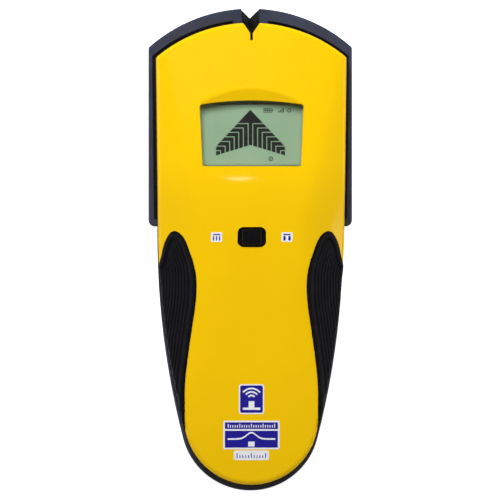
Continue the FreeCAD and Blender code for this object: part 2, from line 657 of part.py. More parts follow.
# ---- boards and what is on them -----------------------------------------------------------------------------
def main_board():
    board = rounded_box((-BOARD_HALF, BOARD_HALF), BOARD_Y, (BOARD_Z, BOARD_TOP_Z), 3.0)
    for x, y in places(CASE_SCREWS):
        board = board.cut(post(TOWER_R + 0.6, x, y, (0, 60)))
    for x, y in places(BOARD_SCREWS):
        board = board.cut(post(1.15, x, y, (0, 60)))
    for x in (-3.0, -1.0, 1.0, 3.0):
        for dy in (-1.6, 1.6):
            board = board.cut(post(0.55, x, SWITCH_Y + dy, (0, 60)))
    for x in header_columns():
        board = board.cut(post(0.5, x, HEADER_Y, (0, 60)))
    for x in (-LEAD_X, LEAD_X):
        board = board.cut(post(0.7, x, LEAD_END_Y, (0, 60)))
    return board


def sensor_board():
    plan = extrude(case_outline(3.2), (SENSOR_Z, SENSOR_Z + SENSOR_THICK))
    board = plan.common(box((-60, 60), (SENSOR_START_Y, 100), (0, 60)))
    board = board.cut(box((-7, 7), (69.0, 100), (0, 60)))
    for x, y in places(CASE_SCREWS):
        board = board.cut(post(TOWER_R + 0.6, x, y, (0, 60)))
    for x, y in places(SENSOR_SCREWS):
        board = board.cut(post(1.0, x, y, (0, 60)))
    for x in header_columns():
        board = board.cut(post(0.5, x, HEADER_Y, (0, 60)))
    return board


def sensor_plates():
    """Three copper plates under the board: one on the centre line and one each side."""
    z = (SENSOR_Z - PLATE_THICK, SENSOR_Z)
    plates = [box((-5.5, 5.5), (26, 64), z)]
    plates += [box(sorted((s * 8.0, s * 21.0)), (26, 62), z) for s in (-1, 1)]
    return Part.makeCompound(plates)


HEADER_Y = 17.5
HEADER_PITCH = 2.54
HEADER_PINS = 6


def header_columns():
    return [HEADER_PITCH * (i - (HEADER_PINS - 1) / 2) for i in range(HEADER_PINS)]


def header_parts():
    """The tall pin header that joins the two boards."""
    half = HEADER_PITCH * HEADER_PINS / 2
    lower_z, upper_z = SENSOR_Z + SENSOR_THICK, BOARD_Z
    blocks, pins = [], []
    for z in ((lower_z, lower_z + 2.5), (upper_z - 2.5, upper_z)):
        block = box((-half, half), (HEADER_Y - 1.25, HEADER_Y + 1.25), z)
        for x in header_columns():
            block = block.cut(box((x - 0.33, x + 0.33), (HEADER_Y - 0.33, HEADER_Y + 0.33), (0, 60)))
        blocks.append(block)
    for x in header_columns():
        z = (SENSOR_Z - 0.8, BOARD_TOP_Z + 0.8)
        pins.append(box((x - 0.32, x + 0.32), (HEADER_Y - 0.32, HEADER_Y + 0.32), z))
    return {"header_blocks": Part.makeCompound(blocks), "header_pins": Part.makeCompound(pins)}


def chip(x, y, size, legs_per_side):
    """A surface-mount chip hanging under the main board: its body and two rows of legs."""
    half_x, half_y, thick = size[0] / 2, size[1] / 2, size[2]
    top = BOARD_Z - 0.15
    body = box((x - half_x, x + half_x), (y - half_y, y + half_y), (top - thick, top))
    body = body.makeChamfer(0.25, [e for e in body.Edges if e.BoundBox.ZMax < top - thick + 1e-6])
    legs = []
    for i in range(legs_per_side):
        leg_y = y + (i - (legs_per_side - 1) / 2) * (size[1] - 1.2) / (legs_per_side - 1)
        for s in (-1, 1):
            foot = box(sorted((x + s * half_x, x + s * (half_x + 1.0))), (leg_y - 0.18, leg_y + 0.18),
                       (BOARD_Z - 0.15, BOARD_Z))
            legs.append(foot)
    return body, legs


def board_components():
    """Everything soldered under the main board."""
    parts = {}
    processor, legs = chip(-1.0, 38.0, (7.0, 10.0, 1.5), 10)
    parts["processor"] = processor
    amplifiers = []
    for x, y in ((-15.0, 28.0), (14.0, 28.0)):
        body, more = chip(x, y, (4.0, 5.0, 1.4), 4)
        amplifiers.append(body)
        legs += more
    parts["amplifiers"] = Part.makeCompound(amplifiers)
    parts["chip_legs"] = Part.makeCompound(legs)
    buzzer = post(6.0, 14.0, 8.0, (BOARD_Z - 6.5, BOARD_Z))
    buzzer = buzzer.makeFillet(0.5, [e for e in buzzer.Edges if e.BoundBox.ZMax < BOARD_Z - 6])
    parts["buzzer"] = buzzer.cut(post(1.2, 14.0, 8.0, (0, BOARD_Z - 5.0)))
    cans = []
    for x, y in ((-17.0, 41.0), (17.0, 41.0)):
        can = post(3.15, x, y, (BOARD_Z - 7.0, BOARD_Z))
        cans.append(can.makeFillet(0.4, [e for e in can.Edges if e.BoundBox.ZMax < BOARD_Z - 6]))
    parts["electrolytic_capacitors"] = Part.makeCompound(cans)
    crystal = rounded_box((-8.0, 3.0), (25.0, 29.5), (BOARD_Z - 3.5, BOARD_Z), 2.2)
    parts["crystal"] = crystal
    films = [rounded_box((x - 3.5, x + 3.5), (54.0, 57.0), (BOARD_Z - 5.5, BOARD_Z), 0.5) for x in (-9.0, 9.0)]
    parts["film_capacitors"] = Part.makeCompound(films)
    trimmer = box((-20.0, -13.5), (6.0, 12.5), (BOARD_Z - 4.0, BOARD_Z)).cut(post(1.4, -16.75, 9.25, (0, BOARD_Z - 3.4)))
    parts["trimmer"] = trimmer
    chips = []
    for row, y in enumerate((50.0, 33.0, 22.5)):
        for x in (-11.0, -8.0, 8.0, 11.0):
            offset = 1.0 if row else 0.0
            chips.append(box((x - 1.0, x + 1.0), (y + offset - 0.6, y + offset + 0.6), (BOARD_Z - 0.55, BOARD_Z)))
    parts["chip_resistors"] = Part.makeCompound(chips)
    return parts


# ---- battery ------------------------------------------------------------------------------------------------
BATTERY_HEAD_Y = BATTERY_END_Y + BATTERY[1]
BATTERY_MID_Z = BATTERY_Z + BATTERY[2] / 2


def along_y(radius, x, y, hole=0.0):
    """A disc or ring whose axis runs along the battery."""
    solid = Part.makeCylinder(radius, y[1] - y[0], Vector(x, y[0], BATTERY_MID_Z), Vector(0, 1, 0))
    if hole:
        solid = solid.cut(Part.makeCylinder(hole, y[1] - y[0], Vector(x, y[0], BATTERY_MID_Z), Vector(0, 1, 0)))
    return solid


def battery_parts():
    half = BATTERY[0] / 2
    can = box((-half, half), (BATTERY_END_Y, BATTERY_HEAD_Y - 0.8), (BATTERY_Z, BATTERY_Z + BATTERY[2]))
    long_edges = [e for e in can.Edges if abs(e.BoundBox.YLength - (BATTERY[1] - 0.8)) < 1e-3]
    can = can.makeFillet(2.2, long_edges)
    can = can.makeFillet(0.6, [e for e in can.Edges if e.BoundBox.YMax < BATTERY_END_Y + 1e-3])
    top = box((-half + 0.5, half - 0.5), (BATTERY_HEAD_Y - 0.8, BATTERY_HEAD_Y),
              (BATTERY_Z + 0.5, BATTERY_Z + BATTERY[2] - 0.5))
    rim = [e for e in top.Edges if abs(e.BoundBox.YLength - 0.8) < 1e-3]
    top = top.makeFillet(1.9, rim)
    terminals = (BATTERY_HEAD_Y, BATTERY_HEAD_Y + TERMINAL_RISE)
    positive = along_y(2.9, -TERMINAL_X, terminals)
    negative = along_y(4.4, TERMINAL_X, terminals, hole=3.15)
    return {"battery_can": can, "battery_top_plate": top, "battery_positive_stud": positive,
            "battery_negative_socket": negative}


def snap_connector():
    """The clip that presses onto the battery's two terminals."""
    face = BATTERY_HEAD_Y + TERMINAL_RISE + 0.1
    pad = box((-12.8, 12.8), (face, face + 2.6), (BATTERY_MID_Z - 6.2, BATTERY_MID_Z + 6.2))
    upright = [e for e in pad.Edges if abs(e.BoundBox.YLength - 2.6) < 1e-3]
    pad = pad.makeFillet(3.0, upright)
    contacts = [along_y(4.4, -TERMINAL_X, (face - 1.9, face), hole=3.05),
                along_y(3.0, TERMINAL_X, (face - 1.9, face))]
    return pad, Part.makeCompound(contacts), face + 2.6


LEAD_X = 5.0
LEAD_END_Y = -3.5
LEAD_Z = 14.2
LEAD_BEND_R = 4.0


def battery_lead(sign, start_y):
    """A lead from the clip, level over the battery's head wall, then up to its pad under the main board."""
    x = sign * LEAD_X
    level_end = Vector(x, LEAD_END_Y - LEAD_BEND_R, LEAD_Z)
    up_start = Vector(x, LEAD_END_Y, LEAD_Z + LEAD_BEND_R)
    middle = Vector(x, LEAD_END_Y - LEAD_BEND_R * (1 - math.sin(math.pi / 4)),
                    LEAD_Z + LEAD_BEND_R * (1 - math.cos(math.pi / 4)))
    start = Vector(x, start_y, LEAD_Z)
    path = Part.Wire([line(start, level_end), arc(level_end, middle, up_start),
                      line(up_start, Vector(x, LEAD_END_Y, BOARD_Z))])
    section = Part.Wire(Part.makeCircle(LEAD_R, start, Vector(0, 1, 0)))
    return path.makePipeShell([section], True, True)


def battery_pad():
    return rounded_box((-10, 10), (-64, -30), (BATTERY_Z + BATTERY[2] + 0.05, 23.15), 1.5)


# ---- fasteners ----------------------------------------------------------------------------------------------
def screw(x, y, seat_z, head, shank):
    """A pan-head screw driven upwards: head is (radius, height), shank is (radius, length)."""
    cap = post(head[0], x, y, (seat_z - head[1], seat_z))
    cap = cap.makeFillet(head[1] * 0.4, [e for e in cap.Edges if e.BoundBox.ZMax < seat_z - head[1] + 1e-6])
    shaft = post(shank[0], x, y, (seat_z - 0.1, seat_z + shank[1]))
    shaft = shaft.makeChamfer(shank[0] * 0.5, [e for e in shaft.Edges if e.BoundBox.ZMin > seat_z + shank[1] - 1e-6])
    solid = cap.fuse(shaft)
    reach, width = head[0] * 0.62, head[0] * 0.2
    drive = (seat_z - head[1] - 1, seat_z - head[1] * 0.45)
    cross = box((x - reach, x + reach), (y - width, y + width), drive)
    cross = cross.fuse(box((x - width, x + width), (y - reach, y + reach), drive))
    return solid.cut(cross).removeSplitter()


def screws():
    case = [screw(x, y, 3.0, (2.5, 1.7), (1.1, 18.0)) for x, y in places(CASE_SCREWS)]
    board = [screw(x, y, BOARD_Z, (1.9, 1.2), (0.82, 5.8)) for x, y in places(BOARD_SCREWS)]
    sensor = []
    for x, y in places(SENSOR_SCREWS):
        part = screw(x, y, 0.0, (1.8, 1.1), (0.78, 3.4))
        part.rotate(Vector(x, y, 0), Vector(1, 0, 0), 180)
        part.translate(Vector(0, 0, SENSOR_Z + SENSOR_THICK))
        sensor.append(part)
    return {"case_screws": Part.makeCompound(case), "main_board_screws": Part.makeCompound(board),
            "sensor_board_screws": Part.makeCompound(sensor)}


# ---- the whole assembly -------------------------------------------------------------------------------------
def build():
    blank = grip_blank()
    left, right = grip(-1, blank), grip(1, blank)
    lcd, cell_bottom = lcd_parts()
    pad, contacts, lead_start = snap_connector()
    nodes = {
        "front_shell": front_shell((left, right)),
        "rear_case": rear_case(),
        "left_grip": left,
        "right_grip": right,
        "battery_door": battery_door(),
        "rear_label": rear_label(),
        "display_window": display_window(),
        "window_tape": window_tape(),
        "lcd_frame": lcd_frame(cell_bottom),
        "lcd_contact_strip": contact_strip(cell_bottom),
        "switch_knob": switch_knob(),
        "switch_spring_left": return_spring(-1),
        "switch_spring_right": return_spring(1),
        "main_board": main_board(),
        "sensor_board": sensor_board(),
        "sensor_plates": sensor_plates(),
        "battery_clip": pad,
        "battery_clip_contacts": contacts,
        "battery_lead_red": battery_lead(-1, lead_start),
        "battery_lead_black": battery_lead(1, lead_start),
        "battery_pad": battery_pad(),
    }
    nodes.update(lcd)
    nodes.update(switch_parts())
    nodes.update(header_parts())
    nodes.update(board_components())
    nodes.update(battery_parts())
    nodes.update(screws())
    return nodes


def export(nodes):
    os.makedirs(PARTS_FOLDER, exist_ok=True)
    for name, shape in sorted(nodes.items()):
        shape.exportStep(os.path.join(PARTS_FOLDER, name + ".step"))
        box_ = shape.BoundBox
        print("%-26s solids %2d  valid %s  volume %9.1f  x %6.1f %6.1f  y %6.1f %6.1f  z %6.2f %6.2f"
              % (name, len(shape.Solids), shape.isValid(), shape.Volume, box_.XMin, box_.XMax, box_.YMin,
                 box_.YMax, box_.ZMin, box_.ZMax))


export(build())
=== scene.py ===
"""Looks of the hand-held stud finder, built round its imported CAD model.

Lengths are metres unless a name or comment says millimetres.
"""
import math

import bmesh
import bpy
import numpy as np
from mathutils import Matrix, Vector
from mathutils.bvhtree import BVHTree
from mathutils.geometry import tessellate_polygon
from mathutils.kdtree import KDTree


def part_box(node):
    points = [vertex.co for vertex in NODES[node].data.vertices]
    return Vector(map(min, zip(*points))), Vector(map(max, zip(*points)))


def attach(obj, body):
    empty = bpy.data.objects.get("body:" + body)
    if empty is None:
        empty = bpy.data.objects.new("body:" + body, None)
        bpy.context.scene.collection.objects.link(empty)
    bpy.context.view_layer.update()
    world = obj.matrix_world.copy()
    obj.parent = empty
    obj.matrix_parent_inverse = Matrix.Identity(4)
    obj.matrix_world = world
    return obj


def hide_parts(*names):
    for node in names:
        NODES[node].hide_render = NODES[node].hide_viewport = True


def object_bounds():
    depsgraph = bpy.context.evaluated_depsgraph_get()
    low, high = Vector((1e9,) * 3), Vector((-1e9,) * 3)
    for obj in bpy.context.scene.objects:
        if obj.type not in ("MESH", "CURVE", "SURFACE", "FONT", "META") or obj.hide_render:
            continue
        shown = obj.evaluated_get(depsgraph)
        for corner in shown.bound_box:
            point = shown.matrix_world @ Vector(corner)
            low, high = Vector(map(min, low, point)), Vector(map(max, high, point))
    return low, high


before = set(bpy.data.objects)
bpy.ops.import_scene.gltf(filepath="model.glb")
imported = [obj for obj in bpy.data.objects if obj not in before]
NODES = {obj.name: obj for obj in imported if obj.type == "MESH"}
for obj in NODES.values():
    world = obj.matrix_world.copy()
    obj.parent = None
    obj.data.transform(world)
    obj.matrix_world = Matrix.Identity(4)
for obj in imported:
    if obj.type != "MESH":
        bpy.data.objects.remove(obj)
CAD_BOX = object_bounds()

MM = 0.001
scene = bpy.context.scene


# ---- materials ---------------------------------------------------------------------------------------------
def linear(red, green, blue):
    """An sRGB colour, 0 to 255, as a linear colour."""
    parts = []
    for c in (red / 255, green / 255, blue / 255):
        parts.append(c / 12.92 if c <= 0.04045 else ((c + 0.055) / 1.055) ** 2.4)
    return tuple(parts) + (1.0,)


class Finish:
    """A node material: a Principled shader whose colour, roughness and surface come from 3-D noise."""

    def __init__(self, name, **sockets):
        self.material = bpy.data.materials.new(name)
        self.material.use_nodes = True
        self.tree = self.material.node_tree
        self.shader = self.tree.nodes["Principled BSDF"]
        for socket, value in sockets.items():
            self.shader.inputs[socket.replace("_", " ")].default_value = value
        self.place = self.add("ShaderNodeTexCoord").outputs["Object"]

    def add(self, kind, **settings):
        node = self.tree.nodes.new(kind)
        for key, value in settings.items():
            setattr(node, key, value)
        return node

    def link(self, source, socket):
        self.tree.links.new(source, socket)

    def stretched(self, x, y, z):
        node = self.add("ShaderNodeMapping")
        self.link(self.place, node.inputs["Vector"])
        node.inputs["Scale"].default_value = (x, y, z)
        return node.outputs["Vector"]

    def noise(self, cell_mm, detail=2.0, vector=None):
        node = self.add("ShaderNodeTexNoise")
        node.inputs["Scale"].default_value = 1 / (cell_mm * MM)
        node.inputs["Detail"].default_value = detail
        self.link(vector or self.place, node.inputs["Vector"])
        return node.outputs["Fac"]

    def speckle(self, cell_mm):
        node = self.add("ShaderNodeTexVoronoi")
        node.inputs["Scale"].default_value = 1 / (cell_mm * MM)
        self.link(self.place, node.inputs["Vector"])
        return node.outputs["Distance"]

    def spread(self, source, low, high, start=0.3, end=0.7):
        """Maps source from start..end to low..high and holds it there outside."""
        node = self.add("ShaderNodeMapRange")
        self.link(source, node.inputs["Value"])
        for socket, value in zip(("From Min", "From Max", "To Min", "To Max"), (start, end, low, high)):
            node.inputs[socket].default_value = value
        return node.outputs["Result"]

    def math(self, operation, *values):
        node = self.add("ShaderNodeMath", operation=operation)
        for socket, value in zip(node.inputs, values):
            if isinstance(value, float):
                socket.default_value = value
            else:
                self.link(value, socket)
        return node.outputs["Value"]

    def product(self, first, *others):
        for other in others:
            first = self.math("MULTIPLY", first, other)
        return first

    def colour(self, source, a, b):
        """Runs the base colour from a to b with source; each is a colour or another colour's output."""
        node = self.add("ShaderNodeMix", data_type="RGBA")
        self.link(source, node.inputs["Factor"])
        for socket, value in zip([s for s in node.inputs if s.type == "RGBA"], (a, b)):
            if isinstance(value, tuple):
                socket.default_value = value
            else:
                self.link(value, socket)
        result = next(s for s in node.outputs if s.type == "RGBA")
        self.link(result, self.shader.inputs["Base Color"])
        return result

    def roughness(self, source, low, high):
        self.link(self.spread(source, low, high), self.shader.inputs["Roughness"])

    def relief(self, *layers):
        """Stacks bump layers of (height, depth in millimetres)."""
        normal = None
        for height, depth_mm in layers:
            node = self.add("ShaderNodeBump")
            node.inputs["Distance"].default_value = depth_mm * MM
            self.link(height, node.inputs["Height"])
            if normal:
                self.link(normal, node.inputs["Normal"])
            normal = node.outputs["Normal"]
        self.link(normal, self.shader.inputs["Normal"])


def shade(colour, factor):
    return tuple(min(1.0, c * factor) for c in colour[:3]) + (1.0,)


def moulded(name, colour, rough, grain_mm, grain_depth, mottle=0.06, **sockets):
    """Moulded plastic, rubber or paint: faint colour drift, uneven gloss and a fine surface grain."""
    f = Finish(name, **sockets)
    f.colour(f.spread(f.noise(9.0), 0, 1), shade(colour, 1 - mottle), shade(colour, 1 + mottle))
    f.roughness(f.noise(3.1, 3), *rough)
    f.relief((f.noise(6.0), 0.004), (f.noise(grain_mm, 3), grain_depth))
    return f.material


def metal(name, colour, rough, brushed=(1, 1, 1)):
    """Bare metal with uneven gloss, drawn out along each axis whose factor in brushed is below 1."""
    f = Finish(name, Metallic=1.0)
    f.colour(f.spread(f.noise(1.7, 3), 0, 1), shade(colour, 0.86), shade(colour, 1.06))
    f.roughness(f.noise(0.8, 3, f.stretched(*brushed)), *rough)
    f.relief((f.noise(0.35, 2, f.stretched(*brushed)), 0.004))
    return f.material


def yellow_abs():
    """Glossy moulded ABS: clean colour, faint flow mottle and the slight orange peel of a polished mould."""
    f = Finish("abs_yellow", IOR=1.5, Specular_IOR_Level=0.42)
    f.colour(f.spread(f.noise(24.0, 2), 0, 1), (0.94, 0.57, 0.0, 1), (0.97, 0.598, 0.0, 1))
    f.roughness(f.noise(5.0, 3), 0.05, 0.09)
    f.relief((f.noise(2.4, 1), 0.0012), (f.noise(0.32, 2), 0.0009))
    return f.material


# Where the case is painted darker, as painted shade: each pair is where the painted shade fades out.  The
# gutter runs beside the front shell's foot, inside the rails and the round nose; the notch leans towards the
# handle as it rises.
GUTTER_FLOOR, GUTTER_TOP = (9.9 * MM, 10.9 * MM), (12.5 * MM, 12.9 * MM)
GUTTER_SIDE, GUTTER_END_Y = (33.5 * MM, 33.8 * MM), (7.8 * MM, 8.4 * MM)
NOSE_CENTRE_Y, NOSE_RADIUS = 27.0 * MM, (52.6 * MM, 53.0 * MM)
NOTCH_SIDE, NOTCH_LEAN, NOTCH_START_Y = (2.7 * MM, 3.3 * MM), 0.31, (79.3 * MM, 79.7 * MM)


def case_abs():
    """Dark blue-grey plastic with a spark-eroded satin grain, with painted shade in its gutter and its notch.
    """
    f = Finish("abs_slate", IOR=1.5, Specular_IOR_Level=0.4)
    drift = f.colour(f.spread(f.noise(11.0, 3), 0, 1), linear(48, 54, 73), linear(58, 64, 88))
    axes = f.add("ShaderNodeSeparateXYZ")
    f.link(f.place, axes.inputs["Vector"])
    x, y, z = axes.outputs["X"], axes.outputs["Y"], axes.outputs["Z"]
    beside = f.math("ABSOLUTE", x)
    # Painted shade: the gutter is darker.
    from_centre = f.math("SUBTRACT", y, NOSE_CENTRE_Y)
    around = f.math("POWER", f.math("MULTIPLY_ADD", x, x, f.math("POWER", from_centre, 2.0)), 0.5)
    gutter = f.product(f.spread(z, 1, 0, *GUTTER_TOP), f.spread(z, 0, 1, *GUTTER_FLOOR),
                       f.spread(beside, 1, 0, *GUTTER_SIDE), f.spread(around, 1, 0, *NOSE_RADIUS),
                       f.spread(y, 0, 1, *GUTTER_END_Y))
    shaded = f.colour(gutter, drift, linear(18, 18, 24))
    # Painted shade: the notch is darker still.
    notch_painted_shade = f.product(f.spread(beside, 1, 0, *NOTCH_SIDE),
                         f.spread(f.math("MULTIPLY_ADD", z, NOTCH_LEAN, y), 0, 1, *NOTCH_START_Y))
    f.colour(notch_painted_shade, shaded, linear(9, 8, 9))
    f.roughness(f.noise(0.9, 4), 0.36, 0.5)
    f.relief((f.noise(0.42, 3), 0.012), (f.speckle(0.5), 0.007))
    return f.material


def grip_rubber():
    """Soft thermoplastic rubber: matt, with a faint dusty sheen and a fine pebbled skin."""
    f = Finish("rubber_grip", IOR=1.46, Specular_IOR_Level=0.22, Sheen_Weight=0.06, Sheen_Roughness=0.4)
    f.colour(f.spread(f.noise(5.0, 4), 0, 1), linear(9, 8, 12), linear(16, 14, 21))
    f.roughness(f.noise(1.3, 4), 0.42, 0.58)
    f.relief((f.noise(0.3, 3), 0.01), (f.speckle(0.34), 0.006))
    return f.material


def lens_acrylic():
    """Clear acrylic with the faintest haze of handling."""
    f = Finish("acrylic_clear", Transmission_Weight=1.0, IOR=1.49)
    f.colour(f.spread(f.noise(14.0), 0, 1), (0.985, 0.99, 0.985, 1), (1, 1, 1, 1))
    f.roughness(f.noise(4.0, 4), 0.0, 0.012)
    f.relief((f.noise(18.0, 1), 0.002), (f.noise(2.5, 3), 0.0002))
    return f.material


def lcd_film():
    """Grey-green polariser over a reflector, with a fine matt grain."""
    f = Finish("lcd_grey_green", IOR=1.45)
    f.colour(f.spread(f.noise(7.0, 3), 0, 1), linear(146, 176, 145), linear(152, 182, 151))
    f.roughness(f.noise(0.5, 2), 0.42, 0.55)
    f.relief((f.noise(0.2, 2), 0.002))
    return f.material


def glass(name, colour):
    """Clear glass with a faint tint."""
    f = Finish(name, Transmission_Weight=0.85, IOR=1.5)
    f.colour(f.spread(f.noise(6.0), 0, 1), shade(colour, 0.94), colour)
    f.roughness(f.noise(2.0, 2), 0.04, 0.12)
    f.relief((f.noise(5.0), 0.001))
    return f.material


def circuit_board():
    """Green solder mask over copper tracks that show as raised, lighter lines."""
    f = Finish("board_green", IOR=1.5)
    tracks = f.add("ShaderNodeTexBrick", offset=0.37, squash=1.0)
    tracks.inputs["Scale"].default_value = 1 / (11 * MM)
    tracks.inputs["Mortar Size"].default_value = 0.028
    tracks.inputs["Brick Width"].default_value = 0.62
    tracks.inputs["Row Height"].default_value = 0.21
    f.link(f.place, tracks.inputs["Vector"])
    mask = f.spread(tracks.outputs["Fac"], 0, 1, 0.0, 1.0)
    f.colour(mask, linear(16, 74, 38), linear(44, 122, 62))
    f.roughness(f.noise(1.1, 3), 0.22, 0.36)
    f.relief((mask, 0.03), (f.noise(0.25, 2), 0.004))
    return f.material


def copper_plate():
    """Copper, brushed along Y and blotched with tarnish."""
    f = Finish("copper_tinned", Metallic=1.0)
    f.colour(f.spread(f.noise(2.6, 5), 0, 1), linear(176, 96, 58), linear(214, 136, 92))
    f.roughness(f.noise(0.9, 4, f.stretched(1, 0.12, 1)), 0.22, 0.42)
    f.relief((f.noise(0.3, 2, f.stretched(1, 0.15, 1)), 0.006))
    return f.material


JACKET_BAND_Y = (-37.2 * MM, -37.0 * MM)    # where the light band at the terminal end begins


def battery_jacket():
    """Foil jacket of the battery: a dark body with a lighter metallic band at the terminal end."""
    f = Finish("battery_wrap", Metallic=0.55, IOR=1.5)
    along = f.add("ShaderNodeSeparateXYZ")
    f.link(f.place, along.inputs["Vector"])
    band = f.spread(along.outputs["Y"], 0, 1, *JACKET_BAND_Y)
    f.colour(band, linear(30, 32, 38), linear(196, 158, 70))
    f.roughness(f.noise(1.6, 3), 0.2, 0.34)
    f.relief((band, 0.02), (f.noise(0.9, 3), 0.004))
    return f.material


def open_foam():
    """Open-cell foam: pits of many sizes and a rough, matt skin."""
    f = Finish("foam_grey", IOR=1.3)
    pits = f.speckle(0.55)
    # The pits are painted darker: painted shade in the hollows.
    f.colour(f.spread(pits, 0, 1, 0.05, 0.5), linear(46, 46, 48), linear(96, 96, 98))
    f.roughness(f.noise(1.0, 3), 0.85, 0.98)
    f.relief((pits, 0.18), (f.noise(0.3, 3), 0.04))
    return f.material


def printed(name, colour, rough=(0.32, 0.44)):
    """Screen-printed ink: slightly uneven cover and a faint edge to its gloss."""
    f = Finish(name, IOR=1.48)
    f.colour(f.spread(f.noise(0.5, 3), 0, 1, 0.35, 0.75), colour, shade(colour, 0.9))
    f.roughness(f.noise(0.4, 3), *rough)
    f.relief((f.noise(0.22, 3), 0.002))
    return f.material


def label_film():
    """Silver label film with a fine brushed grain."""
    f = Finish("label_silver", Metallic=0.35, IOR=1.5)
    f.colour(f.spread(f.noise(6.0, 3), 0, 1), linear(188, 190, 192), linear(204, 206, 207))
    f.roughness(f.noise(0.6, 3, f.stretched(0.08, 1, 1)), 0.34, 0.46)
    f.relief((f.noise(0.4, 2, f.stretched(0.06, 1, 1)), 0.002))
    return f.material


FINISHES = {
    "yellow_shell": yellow_abs(),
    "black_case": case_abs(),
    "grip_rubber": grip_rubber(),
    "knob_plastic": moulded("knob_black", linear(7, 7, 8), (0.34, 0.48), 0.4, 0.008),
    "clear_lens": lens_acrylic(),
    "lcd_glass": glass("lcd_glass_edge", (0.72, 0.86, 0.78, 1)),
    "lcd_film": lcd_film(),
    "holder_plastic": moulded("holder_black", linear(20, 20, 22), (0.45, 0.6), 0.5, 0.012),
    "contact_silicone": moulded("silicone_pink", linear(205, 128, 128), (0.5, 0.64), 0.3, 0.006),
    "tape": moulded("tape_clear_grey", linear(150, 172, 140), (0.5, 0.64), 0.35, 0.02),
    "board": circuit_board(),
    "copper": copper_plate(),
    "tin": metal("tin_plate", linear(196, 196, 192), (0.24, 0.4)),
    "connector_plastic": moulded("connector_black", linear(22, 22, 24), (0.38, 0.52), 0.4, 0.01),
    "chip_black": moulded("epoxy_black", linear(26, 26, 28), (0.5, 0.66), 0.18, 0.01),
    "can_metal": metal("aluminium_can", linear(198, 200, 204), (0.22, 0.34), (1, 1, 0.1)),
    "film_cap": moulded("capacitor_lacquer", linear(172, 62, 24), (0.18, 0.3), 1.4, 0.02),
    "trimmer_blue": moulded("trimmer_blue", linear(28, 74, 178), (0.26, 0.4), 0.5, 0.008),
    "screw_steel": metal("screw_zinc", linear(176, 178, 182), (0.26, 0.42), (1, 1, 0.3)),
    "spring_steel": metal("spring_wire", linear(168, 170, 174), (0.22, 0.36), (1, 0.2, 0.2)),
    "battery_jacket": battery_jacket(),
    "battery_plate": moulded("battery_plate", linear(24, 24, 26), (0.4, 0.56), 0.6, 0.014),
    "terminal_nickel": metal("nickel", linear(206, 202, 194), (0.18, 0.32)),
    "clip_vinyl": moulded("vinyl_black", linear(18, 18, 20), (0.34, 0.5), 0.8, 0.02),
    "lead_red": moulded("lead_red", linear(176, 22, 20), (0.34, 0.48), 0.9, 0.008),
    "lead_black": moulded("lead_black", linear(18, 18, 20), (0.34, 0.48), 0.9, 0.008),
    "foam": open_foam(),
    "label": label_film(),
}
INK_WHITE = printed("ink_white", linear(246, 246, 250))
INK_BLUE = printed("ink_blue", linear(34, 28, 150))
INK_DARK = printed("ink_slate", linear(40, 44, 60))
LCD_DARK = printed("lcd_segment", linear(30, 32, 30), (0.4, 0.5))

for node in NODES.values():
    for index, material in enumerate(node.data.materials):
        node.data.materials[index] = FINISHES[material.name.split(".")[0]]


# ---- small mesh helpers ------------------------------------------------------------------------------------
def new_piece(name, mesh, materials, body, slot, *replaced):
    """Adds a mesh to the scene as a named piece that rides on a CAD body."""
    for material in materials:
        mesh.materials.append(material)
    piece = bpy.data.objects.new(name, mesh)
    scene.collection.objects.link(piece)
    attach(piece, body)
    if replaced:
        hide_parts(*replaced)
    return piece


def surface_tree(node):
    mesh = NODES[node].data
    return BVHTree.FromPolygons([v.co.copy() for v in mesh.vertices],
                                [tuple(p.vertices) for p in mesh.polygons])


def plane_under(node):
    """Height function of a node's largest upward face."""
    mesh = NODES[node].data
    face = max((p for p in mesh.polygons if p.normal.z > 0.5), key=lambda p: p.area)
    n, c = face.normal, face.center
    return lambda x, y: c.z - (n.x * (x - c.x) + n.y * (y - c.y)) / n.z


